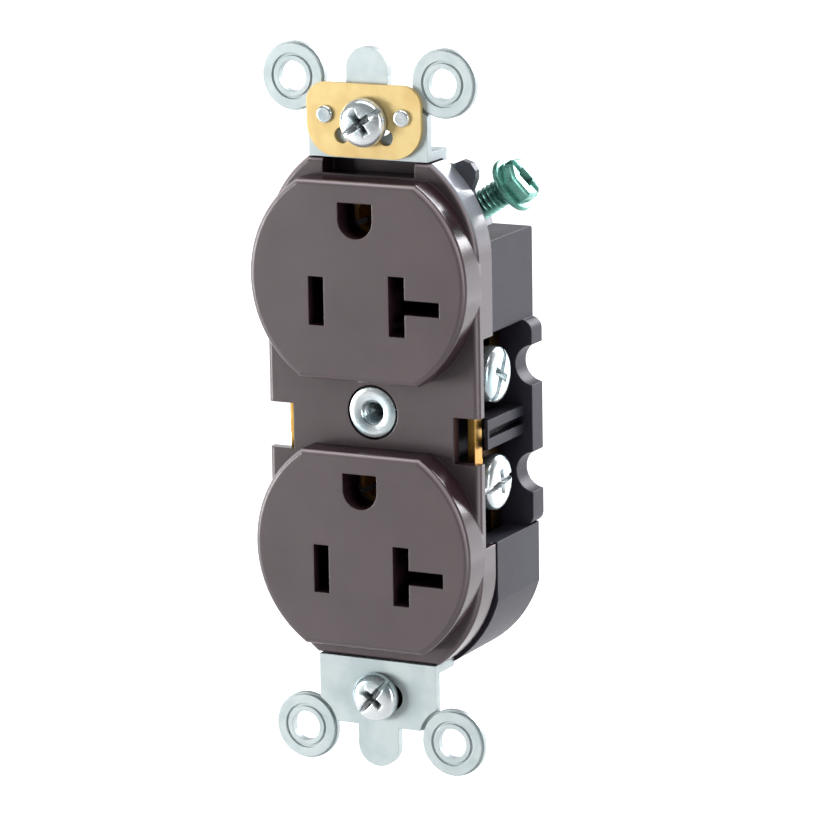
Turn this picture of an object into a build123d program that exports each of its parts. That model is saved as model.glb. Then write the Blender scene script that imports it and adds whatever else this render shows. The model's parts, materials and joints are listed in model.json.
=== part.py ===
from build123d import *
import math
import os

os.makedirs("parts", exist_ok=True)

# Frame: +X right seen from the front, +Y into the wall, +Z up. The origin is on the
# centre screw's axis, in the rear plane of the strap's ears. All lengths in mm.

# --- standard distances
FACE_SPACING = 38.9
DEVICE_SCREW_SPACING = 83.34
BLADE_SPACING = 12.7
BLADE_BELOW_FACE = 3.0
GROUND_ABOVE_FACE = 8.9

FACE_Z = (FACE_SPACING / 2, -FACE_SPACING / 2)
BLADE_Z = tuple(z - BLADE_BELOW_FACE for z in FACE_Z)
GROUND_Z = tuple(z + GROUND_ABOVE_FACE for z in FACE_Z)
BLADE_X = BLADE_SPACING / 2
DEVICE_Z = DEVICE_SCREW_SPACING / 2
MIDDLE_Z = -BLADE_BELOW_FACE

# --- depths along +Y
FACE_Y = -5.8
SHOULDER_Y = -1.34
EAR_FRONT_Y = -1.3
STRAP_T = 1.3
RUN_FRONT_Y = 3.4
RUN_BACK_Y = RUN_FRONT_Y + STRAP_T
COVER_BACK_Y = 3.4
BODY_FRONT_Y = 4.4
BODY_BACK_Y = 18.7
BARRIER_Y = 15.2

# --- cover
COVER_R = 16.8
COVER_ARC_Z = 22.5
COVER_END_Z = 36.2
COVER_SKIN = 1.7
FACE_R = 17.05
FACE_HEIGHT = 28.6
FACE_EDGE_R = 0.8
FACE_SKIN = 2.6
SHROUD_Y = -0.4
SHROUD_WALL = 1.1
SKIRT_X = 14.4
NOTCH_TOP_Z = 0.3
NOTCH_BOTTOM_Z = -6.4
NOTCH_X = 12.75
RECESS_HALF_W = 7.25
RECESS_Z = 34.05
RECESS_FLOOR_Y = 2.0

# --- slots in the faces
HOT_SLOT = (2.4, 7.0)
NEUTRAL_SLOT = (2.5, 8.6)
ARM_END_X = 13.0
ARM_HEIGHT = 2.1
GROUND_SLOT_W = 5.4
GROUND_SLOT_TOP = 2.4

# --- body
BODY_HALF_W = 15.8
BODY_LOWER_HALF_W = 16.6
BODY_R = 17.3
BODY_TOP_Z = 24.7
BODY_BOTTOM_Z = -37.2
NECK_INSET = 0.8
BOSS_HALF_W = 4.8
BOSS_TOP_Z = 33.2
BARRIER_HALF_W = 17.2
POCKET_TOP_Z = 11.5
POCKET_BOTTOM_Z = -18.7
POCKET_X = 11.3
DIVIDER_HALF_H = 2.1
TERMINAL_Z = (5.0, -10.7)
TERMINAL_Y = 7.7
WIRE_NOTCH_R = 3.0
WIRE_NOTCH_X = 17.6

# --- strap
BEND_Z = 36.35
EAR_X = 11.8
EAR_Z = 47.5
EAR_R = 4.9
EAR_HOLE_R = 2.2
EAR_RING_R = (2.9, 3.3)
EAR_RING_DEPTH = 0.2
TAB_HALF_W = 3.25
TAB_END_Z = 52.2
PLATE_HALF_W = 9.35
PLATE_END_Z = 46.2
SPINE_HALF_W = 2.9
GROUND_PAD_R = 4.9
GROUND_WINDOW_R = 3.15
SLOT_HALF_L = 4.0
SLOT_HALF_H = 2.05
LUG_ANGLE = 33.0
LUG_INSET = 2.8
LUG_LOW = 2.8
LUG_HIGH = 4.3
LUG_DEPTH_Y = 9.9
LUG_HOLE_R = 2.05
GROUND_SCREW_Y = 6.9
GROUND_SCREW_POINT = (15.05, 30.24)

ARM_POINTS = (
    (0, 33.4), (0, 34.4), (8.6, 34.6), (12.4, 36.2), (13.7, 35.8), (14.4, 34.8), (14.4, 33.6), (13.7, 31.9),
    (14.3, 29.6), (15.0, 27.6), (14.9, 26.2), (13.3, 25.4), (12.4, 26.2), (8.8, 31.4), (8.0, 33.4),
)

# --- sheet brass
LEAF_T = 0.7
WEB_X = 11.6
WEB_T = 0.8
WEB_PANELS = (
    (0.6, 8.4, 4.9), (-14.1, -6.6, 4.9), (0.6, 21.2, 11.4), (-27.0, -6.6, 11.4),
    (12.2, 21.2, 4.9), (-27.0, -19.4, 4.9),
)
CONTACT_MOUTH_Y = 0.2
CONTACT_BACK_Y = 14.4
LINK_X = (13.6, 14.7)
LINK_Y = (1.5, 3.8)
LINK_Z = (1.9, -7.9)

# --- screws
TERMINAL_HEAD_R = 4.0
TERMINAL_HEAD_T = 2.2
TERMINAL_FACE_X = 16.0
TERMINAL_SHANK_R = 1.9
TERMINAL_TIP_X = 7.6
CLAMP_T = 1.1
DEVICE_HEAD_R = 3.5
DEVICE_HEAD_T = 1.9
DEVICE_SHANK_R = 1.72
DEVICE_NECK_R = 1.6
THREAD_START_Y = 2.0
DEVICE_LENGTH = 16.0
EYELET_R = 3.7
CLIP_T = 0.65
CLIP_X = -0.3
CLIP_Z = 41.8
CLIP_RIVET_Z = 42.5
CLIP_RIVET_DX = 6.05
EYELET_BORE_R = 1.4
CLIP_RIVETS = ((CLIP_X - CLIP_RIVET_DX, CLIP_RIVET_Z), (CLIP_X + CLIP_RIVET_DX, CLIP_RIVET_Z))
ASSEMBLY_Z = (9.85, -28.0)
ASSEMBLY_SHANK_R = 1.25


def at_depth(y):
    """Work plane seen from the front: local x is +X, local y is +Z; negative extrudes go back."""
    return Plane.XZ.offset(-y)


def side_plane(x):
    """Work plane across X: local x is +Y, local y is +Z; positive extrudes go to +X."""
    return Plane.YZ.offset(x)


def run_outline(grow):
    """The strap's inner run seen from the front, grown all round by the given amount."""
    Rectangle(2 * (SPINE_HALF_W + grow), 76)
    with Locations((0, 35.6), (0, -35.6)):
        RectangleRounded(2 * (PLATE_HALF_W + grow), 4.3 + 2 * grow, 0.6)
    with Locations((0, GROUND_Z[0]), (0, GROUND_Z[1]), (0, 0)):
        Circle(GROUND_PAD_R + grow)
    with Locations((0, GROUND_Z[0] - 6.4), (0, GROUND_Z[1] - 6.4)):
        Rectangle(6.4 + 2 * grow, 6.0)
    with Locations((0, ASSEMBLY_Z[0]), (0, ASSEMBLY_Z[1])):
        Circle(3.6 + grow)


def save(part, node):
    part.label = node
    export_step(part, f"parts/{node}.step")


# ---------------------------------------------------------------- front cover
with BuildPart() as front_cover:
    with BuildSketch(at_depth(SHOULDER_Y)):
        SlotCenterToCenter(2 * COVER_ARC_Z, 2 * COVER_R, rotation=90)
        Rectangle(2 * COVER_R, 2 * COVER_END_Z, mode=Mode.INTERSECT)
    extrude(amount=-(COVER_BACK_Y - SHOULDER_Y))
    shoulder_edges = front_cover.faces().sort_by(Axis.Y)[0].edges()
    fillet(shoulder_edges, radius=0.8)
    for z in FACE_Z:
        with BuildSketch(at_depth(FACE_Y)):
            with Locations((0, z)):
                Circle(FACE_R)
                Rectangle(2 * FACE_R, FACE_HEIGHT, mode=Mode.INTERSECT)
        extrude(amount=-(SHOULDER_Y - FACE_Y + 1.2))
    front_faces = front_cover.faces().filter_by(Axis.Y).group_by(Axis.Y)[0]
    fillet(front_faces.edges(), radius=FACE_EDGE_R)
    # hollow behind the shoulders, then deeper behind each face
    with BuildSketch(at_depth(SHOULDER_Y + COVER_SKIN)):
        SlotCenterToCenter(2 * COVER_ARC_Z, 2 * (COVER_R - COVER_SKIN), rotation=90)
        Rectangle(2 * COVER_R, 2 * (COVER_END_Z - COVER_SKIN), mode=Mode.INTERSECT)
    extrude(amount=-10, mode=Mode.SUBTRACT)
    for z in FACE_Z:
        with BuildSketch(at_depth(FACE_Y + FACE_SKIN)):
            with Locations((0, z)):
                Circle(COVER_R - COVER_SKIN)
                Rectangle(2 * FACE_R, FACE_HEIGHT - 2 * COVER_SKIN, mode=Mode.INTERSECT)
        extrude(amount=-6, mode=Mode.SUBTRACT)
    # shrouds around the slots
    for face_z, blade_z, ground_z in zip(FACE_Z, BLADE_Z, GROUND_Z):
        with BuildSketch(at_depth(FACE_Y + 1)):
            with Locations((-BLADE_X, blade_z)):
                Rectangle(HOT_SLOT[0] + 2 * SHROUD_WALL, HOT_SLOT[1] + 2 * SHROUD_WALL)
            with Locations((BLADE_X, blade_z)):
                Rectangle(NEUTRAL_SLOT[0] + 2 * SHROUD_WALL, NEUTRAL_SLOT[1] + 2 * SHROUD_WALL)
            with Locations(((BLADE_X + ARM_END_X) / 2, blade_z)):
                Rectangle(ARM_END_X - BLADE_X + 2 * SHROUD_WALL, ARM_HEIGHT + 2 * SHROUD_WALL)
            with Locations((0, ground_z)):
                Circle(GROUND_SLOT_W / 2 + SHROUD_WALL)
                Rectangle(GROUND_SLOT_W + 2 * SHROUD_WALL, 2 * GROUND_SLOT_TOP + 1)
        extrude(amount=-(SHROUD_Y - FACE_Y - 1))
    # post that carries the centre eyelet and two bosses for the assembly screws
    with BuildSketch(at_depth(SHOULDER_Y + 1)):
        Circle(6.0)
    extrude(amount=-(RUN_FRONT_Y - SHOULDER_Y - 1))
    with BuildSketch(at_depth(FACE_Y + 1)):
        with Locations((0, ASSEMBLY_Z[0]), (0, ASSEMBLY_Z[1])):
            Circle(2.9)
    extrude(amount=-(RUN_FRONT_Y - FACE_Y - 1))
    # slots
    for blade_z, ground_z in zip(BLADE_Z, GROUND_Z):
        with BuildSketch(at_depth(FACE_Y - 1)):
            with Locations((-BLADE_X, blade_z)):
                Rectangle(*HOT_SLOT)
            with Locations((BLADE_X, blade_z)):
                Rectangle(*NEUTRAL_SLOT)
            with Locations(((BLADE_X + ARM_END_X) / 2, blade_z)):
                Rectangle(ARM_END_X - BLADE_X, ARM_HEIGHT)
            with Locations((0, ground_z)):
                Circle(GROUND_SLOT_W / 2)
            with Locations((0, ground_z + GROUND_SLOT_TOP / 2)):
                Rectangle(GROUND_SLOT_W, GROUND_SLOT_TOP)
            with Locations((0, ground_z + GROUND_SLOT_TOP + 2)):
                Rectangle(2 * GROUND_SLOT_W, 4, mode=Mode.SUBTRACT)
        extrude(amount=-10, mode=Mode.SUBTRACT)
    # access notches for the break-off links
    with BuildSketch(at_depth(SHOULDER_Y - 1)):
        with Locations((NOTCH_X + 5, (NOTCH_TOP_Z + NOTCH_BOTTOM_Z) / 2)):
            Rectangle(10, NOTCH_TOP_Z - NOTCH_BOTTOM_Z)
        with Locations((-NOTCH_X - 5, (NOTCH_TOP_Z + NOTCH_BOTTOM_Z) / 2)):
            Rectangle(10, NOTCH_TOP_Z - NOTCH_BOTTOM_Z)
    extrude(amount=-10, mode=Mode.SUBTRACT)
    # no skirt beside the terminals: only the front skin is left there
    with BuildSketch(at_depth(SHOULDER_Y + COVER_SKIN)):
        for side in (-1, 1):
            with Locations((side * (SKIRT_X + 3), (POCKET_TOP_Z + POCKET_BOTTOM_Z) / 2)):
                Rectangle(6, POCKET_TOP_Z - POCKET_BOTTOM_Z)
    extrude(amount=-10, mode=Mode.SUBTRACT)
    # counterbore and hole for the eyelet
    with BuildSketch(at_depth(SHOULDER_Y - 1)):
        Circle(3.95)
    extrude(amount=-2.2, mode=Mode.SUBTRACT)
    with BuildSketch(at_depth(SHOULDER_Y - 1)):
        Circle(2.75)
    extrude(amount=-10, mode=Mode.SUBTRACT)
    # screw holes in the bosses, open to the back
    with BuildSketch(at_depth(-0.6)):
        with Locations((0, ASSEMBLY_Z[0]), (0, ASSEMBLY_Z[1])):
            Circle(1.3)
    extrude(amount=-10, mode=Mode.SUBTRACT)
    # recess where the strap bends back at the top, with a floor of its own
    with BuildSketch(at_depth(SHOULDER_Y + 1)):
        with Locations((0, (RECESS_Z - 1.1 + COVER_END_Z) / 2)):
            Rectangle(2 * (RECESS_HALF_W + 1.1), COVER_END_Z - RECESS_Z + 1.1)
    extrude(amount=-(COVER_BACK_Y - 0.2 - SHOULDER_Y - 1))
    with BuildSketch(at_depth(SHOULDER_Y - 1)):
        with Locations((0, (RECESS_Z + 38) / 2)):
            Rectangle(2 * RECESS_HALF_W, 38 - RECESS_Z)
    extrude(amount=-(RECESS_FLOOR_Y - SHOULDER_Y + 1), mode=Mode.SUBTRACT)

# ---------------------------------------------------------------- back body
with BuildPart() as back_body:
    with BuildSketch(at_depth(BODY_FRONT_Y)):
        SlotCenterToCenter(2 * COVER_ARC_Z, 2 * BODY_R, rotation=90)
        with Locations((0, (BODY_TOP_Z + BODY_BOTTOM_Z) / 2)):
            Rectangle(2 * BODY_LOWER_HALF_W, BODY_TOP_Z - BODY_BOTTOM_Z, mode=Mode.INTERSECT)
    extrude(amount=-(BODY_BACK_Y - BODY_FRONT_Y))
    with BuildSketch(at_depth(COVER_BACK_Y)):
        SlotCenterToCenter(2 * COVER_ARC_Z, 2 * (COVER_R - NECK_INSET), rotation=90)
        with Locations((0, (BODY_TOP_Z - BODY_R - 20) / 2)):
            Rectangle(2 * COVER_R, BODY_TOP_Z + BODY_R + 18.6, mode=Mode.INTERSECT)
    extrude(amount=-(BODY_FRONT_Y - COVER_BACK_Y))
    # pocket for the upper ground contact stands up at the top
    with BuildSketch(at_depth(COVER_BACK_Y)):
        with Locations((0, (BODY_TOP_Z + BOSS_TOP_Z) / 2 - 1)):
            Rectangle(2 * BOSS_HALF_W, BOSS_TOP_Z - BODY_TOP_Z + 2)
    extrude(amount=-(17.0 - COVER_BACK_Y))
    back_edges = back_body.faces().filter_by(Axis.Y).sort_by(Axis.Y)[-1].edges()
    fillet(back_edges, radius=0.5)
    # the sides are set in above the lower end
    with BuildSketch(at_depth(COVER_BACK_Y - 1)):
        for side in (-1, 1):
            with Locations((side * (BODY_HALF_W + 2), (BODY_TOP_Z + 1 + POCKET_BOTTOM_Z) / 2)):
                Rectangle(4, BODY_TOP_Z + 1 - POCKET_BOTTOM_Z)
    extrude(amount=-20, mode=Mode.SUBTRACT)
    # wider terminal section at the rear
    with BuildSketch(at_depth(BARRIER_Y)):
        with Locations((0, (POCKET_TOP_Z + POCKET_BOTTOM_Z) / 2)):
            RectangleRounded(2 * BARRIER_HALF_W, POCKET_TOP_Z - POCKET_BOTTOM_Z, 1.6)
    extrude(amount=-(BODY_BACK_Y - BARRIER_Y))
    # terminal pockets on both sides
    for z in TERMINAL_Z:
        low = MIDDLE_Z + DIVIDER_HALF_H if z > MIDDLE_Z else POCKET_BOTTOM_Z
        high = POCKET_TOP_Z if z > MIDDLE_Z else MIDDLE_Z - DIVIDER_HALF_H
        with BuildSketch(at_depth(COVER_BACK_Y - 1)):
            with Locations((POCKET_X + 5, (low + high) / 2), (-POCKET_X - 5, (low + high) / 2)):
                Rectangle(10, high - low)
        extrude(amount=-(BARRIER_Y - COVER_BACK_Y + 1), mode=Mode.SUBTRACT)
    # half-round wire entries through the rear wall
    with BuildSketch(at_depth(BARRIER_Y - 1)):
        for z in TERMINAL_Z:
            with Locations((WIRE_NOTCH_X, z), (-WIRE_NOTCH_X, z)):
                Circle(WIRE_NOTCH_R)
    extrude(amount=-10, mode=Mode.SUBTRACT)
    # grooves that give the dividers their ridged edge
    with BuildSketch(at_depth(BODY_FRONT_Y - 0.5)):
        with Locations((BODY_HALF_W, MIDDLE_Z), (-BODY_HALF_W, MIDDLE_Z)):
            Rectangle(2.4, 1.2)
    extrude(amount=-(BARRIER_Y - BODY_FRONT_Y + 0.5), mode=Mode.SUBTRACT)
    # channel through both dividers for the break-off links
    with BuildSketch(at_depth(COVER_BACK_Y - 1)):
        with Locations((13.3, MIDDLE_Z), (-13.3, MIDDLE_Z)):
            Rectangle(4.0, 2 * DIVIDER_HALF_H + 2)
    extrude(amount=-2.2, mode=Mode.SUBTRACT)
    # contact chambers: one long trench a side holds the strip, wider at the blades
    for side in (-1, 1):
        with BuildSketch(at_depth(COVER_BACK_Y - 1)):
            with Locations((side * (WEB_X + 0.2), MIDDLE_Z)):
                Rectangle(1.8, 49.0)
            for blade_z in BLADE_Z:
                with Locations((side * 7.9, blade_z)):
                    Rectangle(9.4, 9.6)
        extrude(amount=-(CONTACT_BACK_Y + 1.5 - COVER_BACK_Y), mode=Mode.SUBTRACT)
    # chambers behind the ground holes
    for ground_z in GROUND_Z:
        with BuildSketch(at_depth(COVER_BACK_Y - 1)):
            with Locations((0, ground_z)):
                Circle(3.75)
        extrude(amount=-(CONTACT_BACK_Y + 1.5 - COVER_BACK_Y), mode=Mode.SUBTRACT)
        with BuildSketch(at_depth(COVER_BACK_Y - 1)):
            with Locations((0, ground_z - 6.15)):
                Rectangle(6.7, 8.1)
        extrude(amount=-(RUN_BACK_Y + 2.6 - COVER_BACK_Y), mode=Mode.SUBTRACT)
    # clearance for the eyelet's tail and a wall plate screw
    with BuildSketch(at_depth(COVER_BACK_Y - 1)):
        Circle(3.6)
    extrude(amount=-9.5, mode=Mode.SUBTRACT)
    # clearance behind the terminal screws
    for x in (7.2, -14):
        with BuildSketch(side_plane(x)):
            for z in TERMINAL_Z:
                with Locations((TERMINAL_Y, z)):
                    Circle(2.3)
        extrude(amount=6.8, mode=Mode.SUBTRACT)
    # assembly screws: clearance holes and counterbores from the back
    with BuildSketch(at_depth(COVER_BACK_Y - 1)):
        with Locations((0, ASSEMBLY_Z[0]), (0, ASSEMBLY_Z[1])):
            Circle(1.75)
    extrude(amount=-20, mode=Mode.SUBTRACT)
    with BuildSketch(at_depth(BODY_BACK_Y - 3.0)):
        with Locations((0, ASSEMBLY_Z[0]), (0, ASSEMBLY_Z[1])):
            Circle(3.1)
    extrude(amount=-5, mode=Mode.SUBTRACT)
    # channel that the strap lies in
    with BuildSketch(at_depth(COVER_BACK_Y - 1)):
        run_outline(0.15)
    extrude(amount=-(RUN_BACK_Y - COVER_BACK_Y + 1), mode=Mode.SUBTRACT)

# ---------------------------------------------------------------- mounting strap
with BuildPart() as mounting_strap:
    # bent profile along the strap, wide enough for everything
    with BuildSketch(side_plane(-20)):
        with BuildLine():
            Polyline(
                (EAR_FRONT_Y, 54),
                (EAR_FRONT_Y, BEND_Z),
                (RUN_FRONT_Y, BEND_Z),
                (RUN_FRONT_Y, -BEND_Z),
                (EAR_FRONT_Y, -BEND_Z),
                (EAR_FRONT_Y, -54),
                (0, -54),
                (0, -BEND_Z - STRAP_T),
                (RUN_BACK_Y, -BEND_Z - STRAP_T),
                (RUN_BACK_Y, BEND_Z + STRAP_T),
                (0, BEND_Z + STRAP_T),
                (0, 54),
                close=True,
            )
        make_face()
    extrude(amount=40)
    # front outline
    with BuildSketch(at_depth(-10)):
        run_outline(0)
        for side in (-1, 1):
            with Locations((0, side * 41.0)):
                Rectangle(2 * PLATE_HALF_W, 2 * (PLATE_END_Z - 41.0))
            with Locations((0, side * 48.8)):
                RectangleRounded(2 * TAB_HALF_W, 2 * (TAB_END_Z - 48.8), 3.2)
            with Locations((0, side * 45.0)):
                Rectangle(2 * TAB_HALF_W, 6)
            with Locations((-EAR_X, side * EAR_Z), (EAR_X, side * EAR_Z)):
                Circle(EAR_R)
        # arm out to the ground lug, its edge following the cover's outline
        with BuildLine():
            Polyline(ARM_POINTS, close=True)
        make_face()
    extrude(amount=-30, mode=Mode.INTERSECT)
    # holes: ear holes, device screw slots, ground windows, eyelet, rivets
    with BuildSketch(at_depth(-10)):
        for side in (-1, 1):
            with Locations((-EAR_X, side * EAR_Z), (EAR_X, side * EAR_Z)):
                Circle(EAR_HOLE_R)
            with Locations((0, side * DEVICE_Z)):
                SlotOverall(2 * SLOT_HALF_L, 2 * SLOT_HALF_H)
        with Locations((0, GROUND_Z[0]), (0, GROUND_Z[1])):
            Circle(GROUND_WINDOW_R)
        with Locations((0, GROUND_Z[0] - 7.3), (0, GROUND_Z[1] - 7.3)):
            Circle(1.1)
        Circle(2.75)
        with Locations((0, ASSEMBLY_Z[0]), (0, ASSEMBLY_Z[1])):
            Circle(1.75)
        with Locations(*CLIP_RIVETS):
            Circle(1.0)
    extrude(amount=-30, mode=Mode.SUBTRACT)
    # scored rings where the ears break off
    for side in (-1, 1):
        with BuildSketch(at_depth(EAR_FRONT_Y - 0.1)):
            with Locations((-EAR_X, side * EAR_Z), (EAR_X, side * EAR_Z)):
                Circle(EAR_R + 0.35)
                Circle(EAR_R - 0.25, mode=Mode.SUBTRACT)
        extrude(amount=-0.55, mode=Mode.SUBTRACT)
        with BuildSketch(at_depth(EAR_FRONT_Y - 0.1)):
            with Locations((-EAR_X, side * EAR_Z), (EAR_X, side * EAR_Z)):
                Circle(EAR_RING_R[1])
                Circle(EAR_RING_R[0], mode=Mode.SUBTRACT)
        extrude(amount=-(0.1 + EAR_RING_DEPTH), mode=Mode.SUBTRACT)

screw_plane = Plane(
    origin=(GROUND_SCREW_POINT[0], GROUND_SCREW_Y, GROUND_SCREW_POINT[1]),
    x_dir=(-math.sin(math.radians(LUG_ANGLE)), 0, math.cos(math.radians(LUG_ANGLE))),
    z_dir=(math.cos(math.radians(LUG_ANGLE)), 0, math.sin(math.radians(LUG_ANGLE))),
)
with BuildPart() as ground_lug:
    # plate bent back from the arm, square to the ground screw
    with BuildSketch(screw_plane.offset(-LUG_INSET)):
        with Locations(((LUG_HIGH - LUG_LOW) / 2, GROUND_SCREW_Y - (COVER_BACK_Y + LUG_DEPTH_Y) / 2)):
            RectangleRounded(LUG_HIGH + LUG_LOW, LUG_DEPTH_Y - COVER_BACK_Y, 1.2)
    extrude(amount=-STRAP_T)
    with BuildSketch(screw_plane):
        Circle(LUG_HOLE_R)
    extrude(amount=-10, mode=Mode.SUBTRACT)

# ---------------------------------------------------------------- self-grounding clip
with BuildPart() as self_grounding_clip:
    with BuildSketch(at_depth(EAR_FRONT_Y - CLIP_T)):
        with Locations((CLIP_X, CLIP_Z)):
            RectangleRounded(18.0, 10.5, 2.9)
        with Locations((CLIP_X, CLIP_Z + 1.75)):
            RectangleRounded(18.0, 14.0, 4.6, mode=Mode.INTERSECT)
        with Locations((0, DEVICE_Z)):
            Circle(1.85, mode=Mode.SUBTRACT)
        with Locations(*CLIP_RIVETS):
            Circle(1.0, mode=Mode.SUBTRACT)
        with Locations((CLIP_X - 3.45, 39.6), (CLIP_X + 3.45, 39.6)):
            Circle(1.15, mode=Mode.SUBTRACT)
        for start in (150, 354):
            arc = CenterArc((0, DEVICE_Z), 4.1, start, 36, mode=Mode.PRIVATE)
            SlotArc(arc, 0.8, mode=Mode.SUBTRACT)
    extrude(amount=-CLIP_T)

with BuildPart() as clip_rivets:
    for y, r, t in ((EAR_FRONT_Y - CLIP_T - 0.5, 1.25, 0.5), (EAR_FRONT_Y - CLIP_T, 0.98, 1.95)):
        with BuildSketch(at_depth(y)):
            with Locations(*CLIP_RIVETS):
                Circle(r)
        extrude(amount=-t)
    fillet(clip_rivets.faces().filter_by(Axis.Y).group_by(Axis.Y)[0].edges(), radius=0.35)

# ---------------------------------------------------------------- centre eyelet
with BuildPart() as center_eyelet:
    with BuildSketch(at_depth(SHOULDER_Y - 0.1)):
        Circle(EYELET_R)
    extrude(amount=-1.25)
    with BuildSketch(at_depth(SHOULDER_Y)):
        Circle(2.7)
    extrude(amount=-(RUN_BACK_Y + 0.8 - SHOULDER_Y))
    with BuildSketch(at_depth(RUN_BACK_Y)):
        Circle(3.3)
    extrude(amount=-0.8)
    fillet(center_eyelet.faces().filter_by(Axis.Y).sort_by(Axis.Y)[0].edges(), radius=0.35)
    with BuildSketch(at_depth(SHOULDER_Y - 1)):
        Circle(EYELET_BORE_R)
    extrude(amount=-20, mode=Mode.SUBTRACT)
    chamfer(center_eyelet.edges().filter_by(GeomType.CIRCLE).sort_by(Axis.Y)[:2].sort_by(
        lambda e: e.radius)[0], length=0.4)


# ---------------------------------------------------------------- contact strips
def leaf_outline(side):
    """Section of a sheet spring beside a blade, bowed to pinch it; side is -1 or 1."""
    path = (
        (BLADE_X + side * 1.45, CONTACT_BACK_Y - 0.3),
        (BLADE_X + side * 1.45, 9.0),
        (BLADE_X + side * 0.95, 3.2),
        (BLADE_X + side * 1.7, CONTACT_MOUTH_Y),
    )
    near = [(x - LEAF_T / 2, y) for x, y in path]
    far = [(x + LEAF_T / 2, y) for x, y in reversed(path)]
    return near + far


def contact_strip(side, t_slot):
    """One pole: two blade contacts, two terminal plates and the break-off link between them."""
    with BuildPart() as strip:
        # web with the terminal plates, open between the two halves
        for low, high, front in WEB_PANELS:
            with BuildSketch(side_plane(WEB_X)):
                with Locations(((CONTACT_BACK_Y + front) / 2, (low + high) / 2)):
                    Rectangle(CONTACT_BACK_Y - front, high - low)
            extrude(amount=WEB_T)
        # break-off link, set outward so that it can be reached through the notch
        for z in (LINK_Z[0] - 0.65, LINK_Z[1] + 0.65):
            with BuildSketch(side_plane(WEB_X)):
                with Locations((2.75, z)):
                    Rectangle(2.5, 1.3)
            extrude(amount=LINK_X[1] - WEB_X)
            with BuildSketch(side_plane(WEB_X)):
                with Locations((4.2, z)):
                    Rectangle(5.4, 1.3)
            extrude(amount=WEB_T)
        with BuildSketch(side_plane(LINK_X[0])):
            with Locations((sum(LINK_Y) / 2, sum(LINK_Z) / 2)):
                Rectangle(LINK_Y[1] - LINK_Y[0], LINK_Z[0] - LINK_Z[1])
        extrude(amount=LINK_X[1] - LINK_X[0])
        with BuildSketch(side_plane(WEB_X)):
            for z in TERMINAL_Z:
                with Locations((TERMINAL_Y, z)):
                    Circle(TERMINAL_SHANK_R + 0.05)
        extrude(amount=WEB_T, mode=Mode.SUBTRACT)
        for blade_z in BLADE_Z:
            with BuildSketch(at_depth(CONTACT_BACK_Y - WEB_T)):
                with Locations(((4.3 + WEB_X + WEB_T) / 2, blade_z)):
                    Rectangle(WEB_X + WEB_T - 4.3, 7.8)
            extrude(amount=-WEB_T)
            # each leaf: which side of the blade, its lower edge, its height
            leaves = [(-1, -3.7, 7.4), (1, -3.7, 7.4)]
            if t_slot:
                leaves = [(-1, -3.7, 7.4), (1, 1.7, 2.0), (1, -3.7, 2.0)]
            for leaf_side, low, height in leaves:
                with BuildSketch(Plane.XY.offset(blade_z + low)):
                    with BuildLine():
                        Polyline(leaf_outline(leaf_side), close=True)
                    make_face()
                extrude(amount=height)
            if t_slot:
                for z in (blade_z + 1.15, blade_z - 1.15):
                    with BuildSketch(Plane.XY.offset(z - LEAF_T / 2)):
                        with Locations((10.0, (CONTACT_MOUTH_Y + 0.2 + CONTACT_BACK_Y) / 2)):
                            Rectangle(2.9, CONTACT_BACK_Y - CONTACT_MOUTH_Y - 0.4)
                    extrude(amount=LEAF_T)
    return strip.part if side > 0 else strip.part.mirror(Plane.YZ)


# ---------------------------------------------------------------- ground contacts
def ground_contact(ground_z):
    """A slit sleeve that grips the round pin, on a foot riveted to the back of the strap."""
    with BuildPart() as contact:
        with BuildSketch(at_depth(CONTACT_MOUTH_Y)):
            with Locations((0, ground_z)):
                Circle(2.95)
        extrude(amount=-(CONTACT_BACK_Y - CONTACT_MOUTH_Y))
        with BuildSketch(at_depth(RUN_BACK_Y)):
            with Locations((0, ground_z - 6.0)):
                RectangleRounded(5.6, 7.4, 0.8)
        extrude(amount=-0.7)
        with BuildSketch(at_depth(CONTACT_MOUTH_Y - 1)):
            with Locations((0, ground_z)):
                Circle(2.42)
            with Locations((0, ground_z - 7.3)):
                Circle(1.1)
        extrude(amount=-20, mode=Mode.SUBTRACT)
        with BuildSketch(at_depth(CONTACT_MOUTH_Y - 1)):
            with Locations((0, ground_z)):
                for angle in (90, 210, 330):
                    with PolarLocations(2.7, 1, start_angle=angle):
                        Rectangle(1.6, 0.8)
        extrude(amount=-11, mode=Mode.SUBTRACT)
    return contact.part


with BuildPart() as ground_contact_rivets:
    for y, r, t in ((RUN_FRONT_Y - 0.6, 1.9, 0.6), (RUN_FRONT_Y, 1.08, 2.4), (RUN_BACK_Y + 0.7, 1.7, 0.5)):
        with BuildSketch(at_depth(y)):
            with Locations((0, GROUND_Z[0] - 7.3), (0, GROUND_Z[1] - 7.3)):
                Circle(r)
        extrude(amount=-t)


# ---------------------------------------------------------------- screws and clamps
def cross_and_slot(width, length):
    """Combination drive: a cross with one arm carried out into a slot."""
    Rectangle(width, length)
    Rectangle(length * 0.62, width)


def terminal_screw(side, z):
    with BuildPart() as screw:
        with BuildSketch(side_plane(TERMINAL_FACE_X - TERMINAL_HEAD_T)):
            with Locations((TERMINAL_Y, z)):
                Circle(TERMINAL_HEAD_R)
        extrude(amount=TERMINAL_HEAD_T)
        fillet(screw.faces().sort_by(Axis.X)[-1].edges(), radius=0.7)
        with BuildSketch(side_plane(TERMINAL_TIP_X)):
            with Locations((TERMINAL_Y, z)):
                Circle(TERMINAL_SHANK_R)
        extrude(amount=TERMINAL_FACE_X - TERMINAL_HEAD_T - TERMINAL_TIP_X)
        with BuildSketch(side_plane(TERMINAL_FACE_X - 1.2)):
            with Locations(Location((TERMINAL_Y, z), -14)):
                cross_and_slot(1.1, 6.6)
        extrude(amount=3, mode=Mode.SUBTRACT)
    return screw.part if side > 0 else screw.part.mirror(Plane.YZ)


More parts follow.
